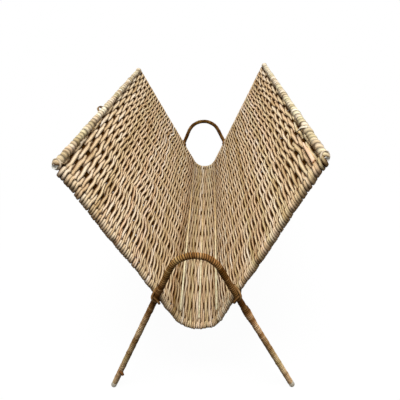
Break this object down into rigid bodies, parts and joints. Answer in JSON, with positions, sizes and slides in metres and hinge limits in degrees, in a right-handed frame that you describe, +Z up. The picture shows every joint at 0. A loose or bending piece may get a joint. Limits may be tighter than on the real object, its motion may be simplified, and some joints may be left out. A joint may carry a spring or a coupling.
{
  "type": "magazine basket",
  "caption": "Woven cane magazine rack: a V-shaped sling between bound rails, standing on an arched leg hoop at each end.",
  "frame": {"origin": "on the floor, midway between the four feet", "axes": "+Z up, +Y along the rails from the front end to the back end, +X across from the left rail to the right rail"},
  "size_m": [0.2586, 0.4922, 0.3233],
  "materials": {
    "weaver_cane": "woven straw-coloured cane, dry and matt, with darker gaps beside each stake",
    "rail_cane": "wide pale yellow cane strip, split side out, satin sheen",
    "leg_cane": "narrow brown cane wound tight, satin, patches of red-brown and olive",
    "stake_cane": "flat split cane, dark and matt",
    "steel_rod": "plain steel rod, dull grey",
    "pale_wire": "cream painted wire, slightly worn",
    "foot_cap": "pale grey-beige moulded cap, matt"
  },
  "bodies": {
    "root": {"woven_sling": "weaver_cane", "stake_01": "stake_cane", "stake_02": "stake_cane", "stake_03": "stake_cane", "stake_04": "stake_cane", "stake_05": "stake_cane", "stake_06": "stake_cane", "stake_07": "stake_cane", "stake_08": "stake_cane", "stake_09": "stake_cane", "stake_10": "stake_cane", "stake_11": "stake_cane", "stake_12": "stake_cane", "stake_13": "stake_cane", "front_v_rod": "steel_rod", "back_v_rod": "steel_rod", "left_rail_rod": "steel_rod", "right_rail_rod": "steel_rod", "left_rail_binding": "rail_cane", "right_rail_binding": "rail_cane", "bottom_wire_left": "pale_wire", "bottom_wire_centre": "pale_wire", "bottom_wire_right": "pale_wire", "front_leg_hoop": "steel_rod", "back_leg_hoop": "steel_rod", "front_leg_binding": "leg_cane", "back_leg_binding": "leg_cane", "lashing_front_left": "leg_cane", "lashing_front_right": "leg_cane", "lashing_back_left": "leg_cane", "lashing_back_right": "leg_cane", "foot_cap_front_left": "foot_cap", "foot_cap_front_right": "foot_cap", "foot_cap_back_left": "foot_cap", "foot_cap_back_right": "foot_cap"}
  },
  "joints": []
}
